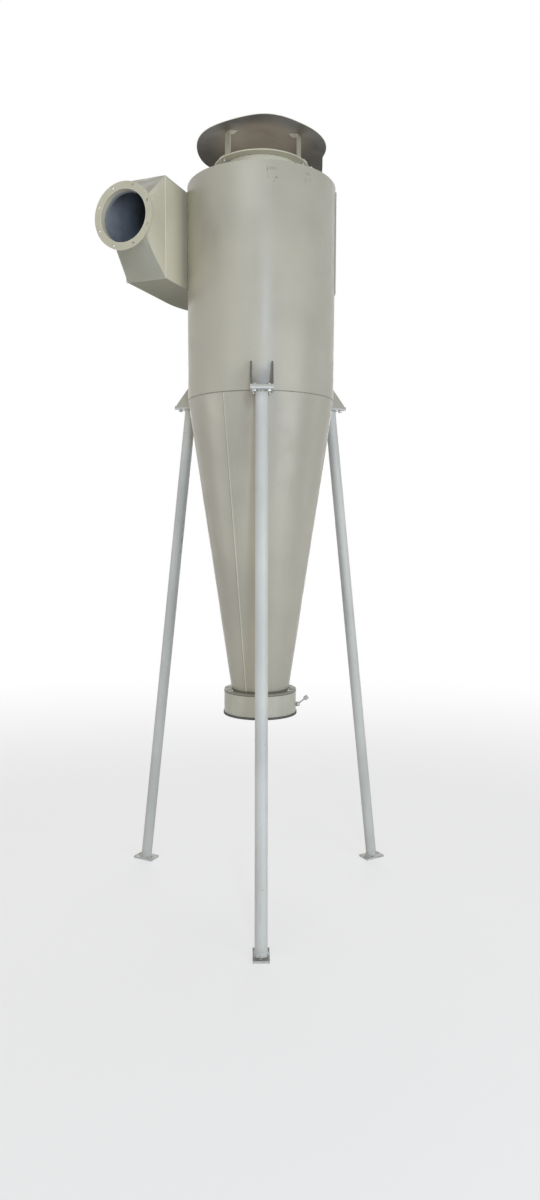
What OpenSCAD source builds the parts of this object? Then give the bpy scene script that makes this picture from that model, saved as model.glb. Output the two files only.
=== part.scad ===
// Cyclone dust separator of painted steel sheet: a round barrel on a long cone,
// a scroll inlet with a square to round mouth, a capped gas outlet and three
// splayed pipe legs. Millimetres, +Z up, origin on the body's axis at floor
// level. Dusty air blows in along +Y, on the -X side of the barrel.

/* [Body] */
// Outside diameter of the barrel
barrel_d = 640; // [600:1:700]
// Height of the barrel from the cone seam to the top of the roof
barrel_h = 897; // [860:1:1100]
// Height of the cone seam above the floor
seam_z = 2210; // [1900:1:2400]
// Height of the cone
cone_h = 1283; // [1000:1:1350]
// Outside diameter of the cone at its lower end
cone_end_d = 259; // [220:1:290]
// Sheet thickness of the barrel and the cone
shell_t = 3; // [2:0.5:6]
// Thickness of the roof plate
roof_t = 4; // [3:0.5:8]

/* [Gas outlet] */
// Outside diameter of the gas outlet tube
outlet_d = 336; // [280:1:380]
// Wall of the gas outlet tube
outlet_t = 3; // [2:0.5:6]
// Rise of the gas outlet tube above the roof
outlet_rise = 91; // [60:1:160]
// Reach of the gas outlet tube below the roof
outlet_drop = 500; // [460:1:560]
// Width of the flange ring round the gas outlet tube
outlet_ring_w = 38; // [26:1:45]
// Thickness of the flange ring
outlet_ring_t = 5; // [3:0.5:10]

/* [Rain cap] */
// Diameter of the rain cap
cap_d = 558; // [480:1:620]
// Slope of the rain cap in degrees
cap_slope = 14.5; // [6:0.1:20]
// Sheet thickness of the rain cap
cap_t = 2; // [1.5:0.5:4]
// Height of the cap's rim above the flange ring
cap_gap = 87; // [60:1:140]
// Width of the lapped seam of the cap in degrees
cap_lap = 6; // [3:1:12]
// Angle of the first cap bracket from +X
cap_a0 = -2; // [-30:1:30]
// Width of the cap's bracket bars
cap_bar_w = 38; // [20:1:50]
// Thickness of the cap's bracket bars
cap_bar_t = 5; // [3:0.5:6]
// Radius at which the cap's bracket bars stand
cap_bar_r = 171; // [165:1:176]
// Length of the tab under the cap
cap_tab = 36; // [20:1:50]
// Diameter of the bolt holes in the bracket feet
cap_hole_d = 9; // [6:0.5:11]

/* [Inlet] */
// Clear width of the inlet duct
duct_w = 174; // [140:1:200]
// Clear height of the inlet duct
duct_h = 404; // [360:1:440]
// Sheet thickness of the inlet
duct_t = 3; // [2:0.5:5]
// Distance of the duct's inner wall from the body's axis
duct_x = 284; // [260:1:315]
// Distance of the duct's square mouth from the body's axis
duct_run = 341; // [280:1:420]
// Depth of the scroll's top plate below the roof
scroll_drop = 18; // [10:1:60]
// Angle from +X at which the scroll ends on the barrel
scroll_end = 15; // [5:1:40]
// Gap between the scroll's wall and the barrel at its end
scroll_end_gap = 2; // [1.5:0.5:6]
// Length of the square to round transition
transition_l = 154; // [110:1:240]
// Shift of the round mouth towards the body's axis
mouth_shift = 7; // [-10:1:20]
// Drop of the round mouth below the duct's middle
mouth_drop = 8; // [-20:1:20]
// Clear diameter of the inlet spigot
spigot_d = 203; // [150:1:230]
// Length of the inlet spigot
spigot_l = 40; // [25:1:80]
// Outside diameter of the inlet flange
inlet_flange_d = 261; // [250:1:320]
// Thickness of the inlet flange
inlet_flange_t = 6; // [4:1:12]
// Bolt circle of the inlet flange
inlet_pcd = 237; // [228:1:244]
// Number of holes in the inlet flange
inlet_holes = 8; // [4:1:12]
// Diameter of the holes in the inlet flange
inlet_hole_d = 10; // [6:0.5:14]

/* [Dust outlet] */
// Outside diameter of the dust sleeve
sleeve_d = 326; // [310:1:360]
// Height of the dust sleeve with its ring
sleeve_h = 108; // [70:1:160]
// Wall of the dust sleeve
sleeve_t = 3; // [2:0.5:6]
// Thickness of the ring between the cone and the sleeve
dust_ring_t = 6; // [4:0.5:10]
// Bolt circle of the ring
dust_pcd = 288; // [280:1:300]
// Diameter of the bolt holes in the ring
dust_hole_d = 9; // [6:0.5:11]
// Number of bolt holes in the ring
dust_holes = 6; // [4:1:12]
// Height of the edge trim on the sleeve's lower edge
trim_h = 10; // [6:1:20]
// Thickness of the edge trim
trim_t = 3.5; // [2:0.5:6]

/* [Legs] */
// Angle of the first leg from +X
leg_a0 = -67; // [-90:1:-40]
// Outside diameter of the leg pipe
pipe_d = 50.8; // [42:0.1:60]
// Wall of the leg pipe
pipe_t = 3.2; // [2:0.1:5]
// Radius of the leg's centre at the top
leg_top_r = 374; // [365:1:390]
// Radius of the leg's centre at the floor
leg_foot_r = 656; // [500:1:720]
// Width of the foot plate
foot_w = 66; // [60:1:100]
// Length of the foot plate
foot_l = 104; // [100:1:160]
// Thickness of the foot plate
foot_t = 10; // [6:1:16]
// Distance between the two floor bolts of a foot
foot_pitch = 78; // [74:1:90]
// Diameter of the floor bolt holes
foot_hole_d = 12; // [8:0.5:14]

/* [Leg brackets] */
// Height of the bracket shelf's top above the cone seam
shelf_rise = 5; // [0:1:12]
// Width of the bracket shelf
shelf_w = 92; // [80:1:120]
// Reach of the bracket shelf from the barrel
shelf_l = 112; // [104:1:150]
// Thickness of the shelf and of the leg's head plate
shelf_t = 8; // [5:1:12]
// Height of the gussets
gusset_h = 110; // [80:1:160]
// Thickness of the gussets
gusset_t = 6; // [4:1:10]
// Height of a gusset's blunt nose
gusset_nose = 4; // [2:1:25]
// Width of a gusset's blunt top
gusset_top = 5; // [3:1:15]
// Distance of the gussets' noses from the shelf's outer edge
gusset_back = 10; // [0:1:20]
// Bolt spacing across the shelf
shelf_bolt_x = 58; // [50:1:62]
// Bolt spacing along the shelf
shelf_bolt_y = 74; // [70:1:82]
// Diameter of the shelf's bolt holes
shelf_hole_d = 11; // [9:0.5:13]

/* [Sleeve clamp] */
// Height of the clamp's lug above the sleeve's lower edge
lug_z = 37; // [15:1:60]
// Width of the clamp's lug
lug_w = 18; // [12:1:30]
// Length of the clamp's lever
lever_l = 47; // [35:1:80]
// Diameter of the lever's rod
lever_d = 7; // [5:0.5:12]
// Diameter of the lever's knob
knob_d = 20; // [14:1:30]

/* [Hidden] */

cream = [0.74, 0.73, 0.64];
pale_grey = [0.72, 0.74, 0.72];
dark_grey = [0.28, 0.29, 0.28];

$fn = 96;
fine_fn = 360;
side_n = 12;
loft_rows = 3;
seat = 0.3;
through = 1;
lip = 2;
legs = 3;
cap_bars = 3;
far = 2000;

barrel_r = barrel_d / 2;
barrel_top = seam_z + barrel_h;
cone_end_r = cone_end_d / 2;
cone_end_z = seam_z - cone_h;

outlet_r = outlet_d / 2;
outlet_top = barrel_top + outlet_rise;
outlet_ring_r = outlet_r + outlet_ring_w;

cap_r = cap_d / 2;
cap_rim_z = outlet_top + cap_gap;
cap_rise = cap_r * tan(cap_slope);
lap_in = 8;
lap_z = cap_rim_z + (cap_r - lap_in) * tan(cap_slope);
cap_foot_r = outlet_ring_r - 1;
cap_hole_r = (cap_bar_r + cap_bar_t + cap_foot_r) / 2;

scroll_top = barrel_top - scroll_drop;
scroll_bottom = scroll_top - duct_h - 2 * duct_t;
duct_in_x = duct_x + duct_t;
duct_out_x = duct_in_x + duct_w;
scroll_end_r = barrel_r + scroll_end_gap;
scroll_cos = cos(scroll_end);
scroll_sin = sin(scroll_end);
// Two arcs that meet with a common tangent: the first leaves the straight wall
// at 180 degrees, the second lands beside the barrel at scroll_end
arc2_r = (duct_out_x + scroll_end_r * (scroll_cos - scroll_sin)) / (1 - scroll_sin + scroll_cos);
arc1_r = arc2_r + (scroll_end_r - arc2_r) * scroll_sin;
arc1_x = arc1_r - duct_out_x;
arc2_y = arc1_r - arc2_r;
window_end = scroll_end + 10;

mouth_x = -(duct_x + duct_t + duct_w / 2) + mouth_shift;
mouth_z = (scroll_top + scroll_bottom) / 2 - mouth_drop;
spigot_r = spigot_d / 2;
spigot_out_r = spigot_r + duct_t;
round_y = -duct_run - transition_l;
mouth_y = round_y - spigot_l;

sleeve_r = sleeve_d / 2;
sleeve_z = cone_end_z - sleeve_h;

shelf_z = seam_z + shelf_rise;
head_z = shelf_z - 2 * shelf_t;
shelf_out_r = barrel_r + shelf_l;
clamp_a = 20;
lever_tilt = 38;
leg_lean = atan((leg_foot_r - leg_top_r) / head_z);

function leg_a(i) = leg_a0 + (i - 1) * 360 / legs;
function cap_a(i) = cap_a0 + (i - 1) * 360 / cap_bars;

// Ring about Z between two radii
module ring(outer_r, inner_r, h) {
    difference() {
        cylinder(r = outer_r, h = h);
        translate([0, 0, -through]) cylinder(r = inner_r, h = h + 2 * through);
    }
}

// Outline of the scroll seen from above, grown outwards by g
module scroll_outline(g) {
    translate([-duct_out_x - g, -duct_run]) square([duct_w + duct_t + g, duct_run]);
    intersection() {
        translate([arc1_x, 0]) circle(r = arc1_r + g);
        translate([-far, 0]) square([far, far]);
    }
    intersection() {
        translate([arc1_x, arc2_y]) circle(r = arc2_r + g);
        translate([arc1_x, arc2_y])
            polygon([[0, 0], [far * scroll_cos, far * scroll_sin], [far, far], [0, far]]);
    }
}

// Opening through which the scroll feeds the barrel, seen from above
module window_outline() {
    translate([-far, -duct_run]) square([far - duct_in_x, duct_run]);
    polygon([[0, 0], [far * cos(window_end), far * sin(window_end)], [far, far], [-far, far], [-far, 0]]);
}

module barrel_shell() {
    color(cream) difference() {
        translate([0, 0, seam_z]) ring(barrel_r, barrel_r - shell_t, barrel_h - roof_t);
        translate([0, 0, scroll_bottom + duct_t])
            linear_extrude(height = duct_h) window_outline();
    }
}

module roof_plate() {
    color(cream) translate([0, 0, barrel_top - roof_t]) ring(barrel_r, outlet_r, roof_t);
}

module cone_shell() {
    color(cream) rotate_extrude()
        polygon([[cone_end_r - shell_t, cone_end_z], [cone_end_r, cone_end_z],
            [barrel_r, seam_z], [barrel_r - shell_t, seam_z]]);
}

module gas_outlet_tube() {
    color(cream) translate([0, 0, barrel_top - outlet_drop])
        ring(outlet_r, outlet_r - outlet_t, outlet_drop + outlet_rise);
}

module gas_outlet_ring() {
    color(cream) difference() {
        translate([0, 0, outlet_top - outlet_ring_t])
            ring(outlet_ring_r, outlet_r, outlet_ring_t);
        for (i = [1 : cap_bars])
            rotate([0, 0, cap_a(i)]) translate([cap_hole_r, 0, outlet_top - outlet_ring_t - through])
                cylinder(d = cap_hole_d, h = outlet_ring_t + 2 * through);
    }
}

// Shallow cone rolled from a disc with a slit, whose ends lap over each other
module rain_cap() {
    color(cream) {
        rotate_extrude()
            polygon([[cap_r, cap_rim_z], [cap_r, cap_rim_z + cap_t],
                [0, cap_rim_z + cap_rise + cap_t], [0, cap_rim_z + cap_rise]]);
        rotate([0, 0, -cap_lap / 2]) rotate_extrude(angle = cap_lap)
            polygon([[cap_r, cap_rim_z + cap_t / 2], [cap_r, cap_rim_z + 2 * cap_t],
                [lap_in, lap_z + 2 * cap_t], [lap_in, lap_z + cap_t / 2]]);
    }
}

// Flat bar bent twice: a foot outwards on the ring, an upright and a tab that
// follows the cap's slope inwards
module cap_bracket(i) {
    bar_in = cap_bar_r;
    bar_out = cap_bar_r + cap_bar_t;
    tab_in = bar_in - cap_tab;
    top = cap_rim_z - seat + (cap_r - bar_out) * tan(cap_slope);
    rise = (bar_out - tab_in) * tan(cap_slope);
    skin = cap_bar_t / cos(cap_slope);
    color(cream) rotate([0, 0, cap_a(i)]) difference() {
        rotate([90, 0, 0]) linear_extrude(height = cap_bar_w, center = true)
            polygon([[bar_in, outlet_top], [cap_foot_r, outlet_top],
                [cap_foot_r, outlet_top + cap_bar_t], [bar_out, outlet_top + cap_bar_t],
                [bar_out, top], [tab_in, top + rise], [tab_in, top + rise - skin],
                [bar_in, top - skin + cap_bar_t * tan(cap_slope)]]);
        translate([cap_hole_r, 0, outlet_top - through])
            cylinder(d = cap_hole_d, h = cap_bar_t + 2 * through);
    }
}

module inlet_flange() {
    color(cream) translate([mouth_x, mouth_y, mouth_z]) rotate([-90, 0, 0]) difference() {
        ring(inlet_flange_d / 2, spigot_out_r, inlet_flange_t);
        for (i = [0 : inlet_holes - 1])
            rotate([0, 0, (i + 0.5) * 360 / inlet_holes]) translate([inlet_pcd / 2, 0, -through])
                cylinder(d = inlet_hole_d, h = inlet_flange_t + 2 * through);
    }
}

module inlet_spigot() {
    color(cream) translate([mouth_x, mouth_y, mouth_z]) rotate([-90, 0, 0])
        ring(spigot_out_r, spigot_r, spigot_l);
}

// Corner i of a square that reaches from -1 to 1
function corner(i) = [sign(cos(45 + 90 * i)), sign(sin(45 + 90 * i))];

// Point i of a loop round that square, with side_n points on each side
function square_point(i) =
    let (side = floor(i / side_n), t = i / side_n - side)
    (1 - t) * corner(side) + t * corner(side + 1);

// Point i of row k of the transition, inset by g. Straight lines run from the
// rectangle's sides to the quarters of the circle, with a short straight lip at
// both ends
function loft_point(i, k, g) =
    let (
        v = min(max(k - 1, 0) / loft_rows, 1),
        turn = 45 + 90 * i / side_n,
        round_r = spigot_out_r - g,
        flat_x = (square_point(i)[0] - 1) * (duct_w / 2 + duct_t - g) - duct_in_x + duct_t - g,
        flat_y = -duct_run - lip,
        flat_z = (scroll_top + scroll_bottom) / 2 + square_point(i)[1] * (duct_h / 2 + duct_t - g),
        y = k == 0 ? -duct_run : k == loft_rows + 2 ? round_y : flat_y + v * (round_y + lip - flat_y))
    [(1 - v) * flat_x + v * (mouth_x + round_r * cos(turn)), y,
        (1 - v) * flat_z + v * (mouth_z + round_r * sin(turn))];

// Sheet between the duct's rectangle and the spigot's circle. Point i of row k
// has the number a(i, k) on the outer side and b(i, k) on the inner side
module inlet_transition() {
    loop_n = 4 * side_n;
    rows = loft_rows + 2;
    a = function (i, k) k * loop_n + i % loop_n;
    b = function (i, k) a(i, rows + 1 + k);
    color(cream) polyhedron(
        points = [for (g = [0, duct_t], k = [0 : rows], i = [0 : loop_n - 1]) loft_point(i, k, g)],
        faces = [for (i = [0 : loop_n - 1]) each concat(
            [[a(i, 0), a(i + 1, 0), b(i + 1, 0), b(i, 0)]],
            [[a(i + 1, rows), a(i, rows), b(i, rows), b(i + 1, rows)]],
            [for (k = [0 : rows - 1]) each [
                [a(i, k), a(i, k + 1), a(i + 1, k + 1)], [a(i, k), a(i + 1, k + 1), a(i + 1, k)],
                [b(i, k), b(i + 1, k + 1), b(i, k + 1)], [b(i, k), b(i + 1, k), b(i + 1, k + 1)]]])]);
}

module duct_inner_wall() {
    color(cream) difference() {
        translate([-duct_in_x, -duct_run, scroll_bottom + duct_t])
            cube([duct_t, duct_run, duct_h]);
        translate([0, 0, scroll_bottom]) cylinder(r = barrel_r, h = duct_h + 2 * duct_t, $fn = fine_fn);
    }
}

module scroll_outer_wall() {
    color(cream) translate([0, 0, scroll_bottom + duct_t]) linear_extrude(height = duct_h)
        difference() {
            scroll_outline(duct_t);
            scroll_outline(0);
            translate([-duct_out_x, -duct_run - through]) square([far, duct_run + through]);
        }
}

// Strip that closes the narrow end of the scroll against the barrel
module scroll_end_strip() {
    color(cream) rotate([0, 0, scroll_end]) translate([0, -duct_t, scroll_bottom]) difference() {
        translate([barrel_r - 5, 0, 0]) cube([scroll_end_gap + duct_t + 5, duct_t, duct_h + 2 * duct_t]);
        translate([0, duct_t, -through]) cylinder(r = barrel_r, h = duct_h + 2 * duct_t + 2 * through);
    }
}

module scroll_plate() {
    linear_extrude(height = duct_t) difference() {
        scroll_outline(duct_t);
        circle(r = barrel_r);
    }
}

module scroll_top_plate() {
    color(cream) translate([0, 0, scroll_top - duct_t]) scroll_plate();
}

module scroll_bottom_plate() {
    color(cream) translate([0, 0, scroll_bottom]) scroll_plate();
}

module dust_ring() {
    color(cream) difference() {
        translate([0, 0, cone_end_z - dust_ring_t])
            ring(sleeve_r, cone_end_r - shell_t, dust_ring_t);
        for (i = [0 : dust_holes - 1])
            rotate([0, 0, leg_a0 + i * 360 / dust_holes])
                translate([dust_pcd / 2, 0, cone_end_z - dust_ring_t - through])
                    cylinder(d = dust_hole_d, h = dust_ring_t + 2 * through);
    }
}

module dust_sleeve() {
    color(cream) translate([0, 0, sleeve_z])
        ring(sleeve_r, sleeve_r - sleeve_t, sleeve_h - dust_ring_t);
}

// Trim that covers the sleeve's lower edge, with a lip under it
module sleeve_edge_trim() {
    lip_r = sleeve_r - sleeve_t / 2;
    color(dark_grey) rotate_extrude()
        polygon([[lip_r, sleeve_z - trim_t], [sleeve_r + trim_t, sleeve_z - trim_t],
            [sleeve_r + trim_t, sleeve_z - trim_t + trim_h], [sleeve_r, sleeve_z - trim_t + trim_h],
            [sleeve_r, sleeve_z], [lip_r, sleeve_z]]);
}

// Block on the sleeve with a round boss that the lever grows from
module sleeve_clamp_lug() {
    color(pale_grey) rotate([0, 0, clamp_a]) translate([0, 0, sleeve_z + lug_z]) difference() {
        translate([0, lug_w / 2, 0]) rotate([90, 0, 0]) linear_extrude(height = lug_w) {
            translate([sleeve_r + lug_w / 2, 0]) circle(d = lug_w);
            translate([sleeve_r - lug_w / 2, -lug_w / 2]) square([lug_w, lug_w]);
        }
        translate([0, 0, -lug_w]) cylinder(r = sleeve_r, h = 2 * lug_w);
    }
}

// Rod that rises outwards from the lug and ends in a round knob
module sleeve_clamp_lever() {
    rod_r = lever_d / 2;
    knob_r = knob_d / 2;
    color(pale_grey) rotate([0, 0, clamp_a]) translate([sleeve_r + lug_w / 2, 0, sleeve_z + lug_z])
        rotate([0, 90 - lever_tilt, 0]) rotate_extrude()
            polygon([[0, lug_w / 2 + seat], [rod_r, lug_w / 2 + seat], [rod_r, lever_l - knob_r],
                [0.7 * knob_r, lever_l - knob_r], [knob_r, lever_l - 0.7 * knob_r],
                [knob_r, lever_l + 0.7 * knob_r], [0.7 * knob_r, lever_l + knob_r], [0, lever_l + knob_r]]);
}

// Two upright plates welded to the barrel, with sloping outer edges
module leg_bracket_gussets(i) {
    nose_r = shelf_out_r - gusset_back;
    color(cream) rotate([0, 0, leg_a(i)]) difference() {
        for (side = [-1, 1])
            translate([0, side * (shelf_w - gusset_t) / 2, shelf_z])
                rotate([90, 0, 0]) linear_extrude(height = gusset_t, center = true)
                    polygon([[barrel_r - 15, 0], [nose_r, 0], [nose_r, gusset_nose],
                        [barrel_r + gusset_top, gusset_h], [barrel_r - 15, gusset_h]]);
        cylinder(r = barrel_r, h = barrel_top);
    }
}

module shelf_holes() {
    for (x = [-1, 1], y = [-1, 1])
        translate([leg_top_r + x * shelf_bolt_y / 2, y * shelf_bolt_x / 2, head_z - through])
            cylinder(d = shelf_hole_d, h = 2 * shelf_t + 2 * through);
}

module leg_bracket_shelf(i) {
    color(cream) rotate([0, 0, leg_a(i)]) difference() {
        translate([barrel_r - 15, -shelf_w / 2, shelf_z - shelf_t])
            cube([shelf_l + 15, shelf_w, shelf_t]);
        cylinder(r = barrel_r, h = barrel_top);
        shelf_holes();
    }
}

module leg_head_plate(i) {
    color(pale_grey) rotate([0, 0, leg_a(i)]) difference() {
        translate([barrel_r + 5, -shelf_w / 2, head_z]) cube([shelf_l - 5, shelf_w, shelf_t]);
        shelf_holes();
    }
}

// Pipe between the foot plate and the head plate, cut level at both ends
module leg_pipe(i) {
    color(pale_grey) rotate([0, 0, leg_a(i)]) intersection() {
        translate([leg_foot_r, 0, 0]) rotate([0, -leg_lean, 0])
            translate([0, 0, -pipe_d]) ring(pipe_d / 2, pipe_d / 2 - pipe_t, head_z + 4 * pipe_d);
        translate([0, -pipe_d, foot_t]) cube([far, 2 * pipe_d, head_z - foot_t]);
    }
}

module foot_plate(i) {
    color(pale_grey) rotate([0, 0, leg_a(i)]) difference() {
        translate([leg_foot_r - foot_l / 2, -foot_w / 2, 0]) cube([foot_l, foot_w, foot_t]);
        for (side = [-1, 1])
            translate([leg_foot_r + side * foot_pitch / 2, 0, -through])
                cylinder(d = foot_hole_d, h = foot_t + 2 * through);
    }
}

barrel_shell();
roof_plate();
cone_shell();
gas_outlet_tube();
gas_outlet_ring();
rain_cap();
cap_bracket(1);  // cap_bracket_1
cap_bracket(2);  // cap_bracket_2
cap_bracket(3);  // cap_bracket_3
inlet_flange();
inlet_spigot();
inlet_transition();
duct_inner_wall();
scroll_outer_wall();
scroll_end_strip();
scroll_top_plate();
scroll_bottom_plate();
dust_ring();
dust_sleeve();
sleeve_edge_trim();
sleeve_clamp_lug();
sleeve_clamp_lever();
leg_bracket_gussets(1);  // leg_bracket_gussets_1
leg_bracket_gussets(2);  // leg_bracket_gussets_2
leg_bracket_gussets(3);  // leg_bracket_gussets_3
leg_bracket_shelf(1);  // leg_bracket_shelf_1
leg_bracket_shelf(2);  // leg_bracket_shelf_2
leg_bracket_shelf(3);  // leg_bracket_shelf_3
leg_head_plate(1);  // leg_head_plate_1
leg_head_plate(2);  // leg_head_plate_2
leg_head_plate(3);  // leg_head_plate_3
leg_pipe(1);  // leg_pipe_1
leg_pipe(2);  // leg_pipe_2
leg_pipe(3);  // leg_pipe_3
foot_plate(1);  // foot_plate_1
foot_plate(2);  // foot_plate_2
foot_plate(3);  // foot_plate_3
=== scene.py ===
"""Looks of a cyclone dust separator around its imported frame: cap, bolts, welds, paint and stage."""

from math import atan2, cos, exp, pi, radians, sin, sqrt, tan

import bmesh
import bpy
from mathutils import Matrix, Vector, noise


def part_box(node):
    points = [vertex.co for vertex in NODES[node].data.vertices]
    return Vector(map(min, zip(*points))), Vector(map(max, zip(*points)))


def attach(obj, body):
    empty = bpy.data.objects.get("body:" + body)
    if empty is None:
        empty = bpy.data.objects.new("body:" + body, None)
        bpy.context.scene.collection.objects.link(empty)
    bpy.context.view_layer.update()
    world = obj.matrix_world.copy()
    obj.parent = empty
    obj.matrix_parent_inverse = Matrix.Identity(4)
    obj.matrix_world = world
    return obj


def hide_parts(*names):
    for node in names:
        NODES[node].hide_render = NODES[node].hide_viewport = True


bl_info = {
    "name": "Cyclone Separator Looks",
    "version": (1, 0, 0),
    "blender": (4, 5, 0),
    "location": "3D View > Sidebar > Cyclone",
    "description": "Adds the cap, fasteners, welds, finishes and stage of a cyclone separator",
    "category": "Object",
}

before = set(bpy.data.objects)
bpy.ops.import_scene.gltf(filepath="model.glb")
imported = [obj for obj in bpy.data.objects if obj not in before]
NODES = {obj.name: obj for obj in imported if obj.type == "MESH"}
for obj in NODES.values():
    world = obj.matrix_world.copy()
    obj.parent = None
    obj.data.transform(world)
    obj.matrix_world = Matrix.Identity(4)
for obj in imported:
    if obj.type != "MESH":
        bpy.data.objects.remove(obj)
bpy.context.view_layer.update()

# Sizes read off the frame
BARREL_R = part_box("barrel_shell")[1].x
SEAM_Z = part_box("barrel_shell")[0].z
ROOF_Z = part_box("roof_plate")[1].z
CONE_END_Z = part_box("cone_shell")[0].z
TUBE_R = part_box("gas_outlet_tube")[1].x
RING_LOW_Z, RING_TOP_Z = (corner.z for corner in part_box("gas_outlet_ring"))
CAP_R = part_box("rain_cap")[1].x
CAP_RIM_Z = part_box("rain_cap")[0].z
DUST_RING_LOW_Z, DUST_RING_TOP_Z = (corner.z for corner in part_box("dust_ring"))
SLEEVE_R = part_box("dust_sleeve")[1].x
DUCT_LOW, DUCT_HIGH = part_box("inlet_transition")
WALL_FACE_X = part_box("duct_inner_wall")[1].x
SPIGOT_LOW, SPIGOT_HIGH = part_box("inlet_spigot")
MOUTH = (SPIGOT_LOW + SPIGOT_HIGH) / 2
SPIGOT_R = (SPIGOT_HIGH.x - SPIGOT_LOW.x) / 2
FLANGE_BACK_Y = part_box("inlet_flange")[1].y
SHELF_TOP_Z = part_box("leg_bracket_shelf_1")[1].z
HEAD_LOW_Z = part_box("leg_head_plate_1")[0].z
FOOT_TOP_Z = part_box("foot_plate_1")[1].z
LUG_LOW, LUG_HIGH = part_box("sleeve_clamp_lug")
SCROLL_LOW_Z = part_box("scroll_bottom_plate")[0].z
SCROLL_TOP_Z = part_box("scroll_top_plate")[1].z

# Angles from +X round the body's axis
LEG_ANGLES = [radians(-67 + 120 * i) for i in range(3)]
CAP_ANGLES = [radians(-2 + 120 * i) for i in range(3)]
SCROLL_END = radians(15)
CLAMP_ANGLE = radians(20)
BACK_SEAM = radians(100)
FRONT = radians(-67.5)

# Sizes that no box of the frame shows
CONE_END_R = 0.1295
CAP_FOOT_T = 0.005
GUSSET_ACROSS = 0.043
GUSSET_HALF_T = 0.0032
GUSSET_H = 0.108
SHELF_REACH = 0.100
SHELF_HALF_W = 0.040
CLAMP_PIN_OUT = 0.009
CLAMP_HALF_W = 0.009
WIDE_WELD_OFF = 0.001
SLIM_WELD_OFF = 0.0005
THREAD_STEP = 0.0011
THREAD_ROOT = 0.88


# Settings

def length_setting(name, description, default):
    """A length or a place that can be set, in metres."""
    return bpy.props.FloatProperty(name=name, description=description, default=default, unit="LENGTH")


def angle_setting(name, description, default):
    """An angle that can be set, held in radians and shown in degrees."""
    return bpy.props.FloatProperty(name=name, description=description, default=default, subtype="ANGLE")


def colour_setting(name, description, default):
    """A colour that can be set."""
    return bpy.props.FloatVectorProperty(name=name, description=description, default=default, size=3,
                                         subtype="COLOR", min=0, max=1)


class CycloneCap(bpy.types.PropertyGroup):
    """Shape of the rain cap"""
    slope: angle_setting("Slope", "Slope of the cap's sheet", radians(14.5))
    sheet: length_setting("Sheet", "Thickness of the cap's sheet", 0.0018)
    lift: length_setting("Front lift", "How far the front of the rim springs up", 0.0115)
    sag: length_setting("Back sag", "How far the rim sags at the back on the inlet's side", 0.014)
    bow: length_setting("Side bow", "How far the rim's two sides bow up and down", 0.0035)
    corner: length_setting("Lap corner", "How far the lap's corner hangs", 0.030)
    reach: length_setting("Corner reach", "How far the lap's corner stands out", 0.052)
    lap_angle: angle_setting("Lap angle", "Where the lapped seam ends, from +X", radians(56.5))


class CycloneFasteners(bpy.types.PropertyGroup):
    """Sizes and places of the bolts"""
    bracket_bolt: length_setting("Bracket bolt", "Shank diameter of the bracket bolts", 0.009)
    small_bolt: length_setting("Small bolt", "Shank diameter of the cap and ring bolts", 0.008)
    bracket_r: length_setting("Bracket radius", "Radius of the leg's centre at its top", 0.374)
    bracket_x: length_setting("Bolts across", "Bolt spacing across a bracket", 0.058)
    bracket_y: length_setting("Bolts along", "Bolt spacing along a bracket", 0.074)
    cap_r: length_setting("Cap bolt radius", "Radius of the cap brackets' bolts", 0.1905)
    ring_r: length_setting("Ring bolt radius", "Radius of the dust ring's bolts", 0.144)


class CycloneWelds(bpy.types.PropertyGroup):
    """Sizes of the weld beads, and where the legs and the cone's seam lie"""
    seam: length_setting("Seam", "Half width of the shell's seams", 0.0022)
    fillet: length_setting("Fillet", "Half width of the fillet welds", 0.0042)
    fold: length_setting("Fold", "Half width of the rounded fold at the duct's mouth", 0.0055)
    foot_r: length_setting("Foot radius", "Radius of the leg's centre at the floor", 0.656)
    pipe_r: length_setting("Pipe radius", "Outside radius of the leg pipe", 0.0254)
    cone_seam: angle_setting("Cone seam", "Where the cone's long seam lies, from +X", radians(-96.3))


class CycloneFinish(bpy.types.PropertyGroup):
    """Colours and gloss of the finishes"""
    cream: colour_setting("Cream paint", "Enamel on the body", (0.50, 0.488, 0.398))
    legs: colour_setting("Leg paint", "Enamel on the legs", (0.66, 0.67, 0.625))
    bare: colour_setting("Bare sheet", "Dusty steel inside the inlet", (0.380, 0.410, 0.440))
    stain: colour_setting("Stain", "Brown dust under the cap", (0.150, 0.128, 0.100))
    # Dark grime, also used as painted shade in corners, on sloped gusset edges and on the front foot
    grime_and_shade: colour_setting("Grime", "Dark grime in corners and on the feet", (0.105, 0.098, 0.080))
    zinc: colour_setting("Zinc", "Plated bolts and nuts", (0.46, 0.46, 0.44))
    rubber: colour_setting("Rubber", "Edge trim on the sleeve", (0.085, 0.087, 0.083))
    gloss: bpy.props.FloatProperty(name="Paint roughness", description="Roughness of the enamel",
                                   default=0.34, min=0, max=1, subtype="FACTOR")


class CycloneStage(bpy.types.PropertyGroup):
    """Camera, lamps and floor"""
    distance: length_setting("Distance", "Camera's distance from the body's axis", 3.749)
    height: length_setting("Height", "Camera's height above the floor", 1.6526)
    azimuth: angle_setting("Azimuth", "Camera's angle round the body", radians(22.482))
    aside: angle_setting("Aside", "How far the camera looks to the right of the axis", radians(0.662))
    pitch: angle_setting("Pitch", "How far the camera looks down", radians(4.917))
    roll: angle_setting("Roll", "Camera's turn about its own view", radians(0.199))
    lens: bpy.props.FloatProperty(name="Lens", description="Focal length in millimetres", default=24.97)
    light: bpy.props.FloatProperty(name="Light", description="Strength of the lamps", default=1.0, min=0)
    ambient: bpy.props.FloatProperty(name="Ambient", description="Strength of the even light from all sides",
                                     default=0.18, min=0)
    floor: colour_setting("Floor", "Colour of the floor", (0.85, 0.85, 0.85))
    bounce: colour_setting("Bounce", "Colour of the light that the floor throws back", (0.52, 0.52, 0.51))


# Mesh helpers

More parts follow.
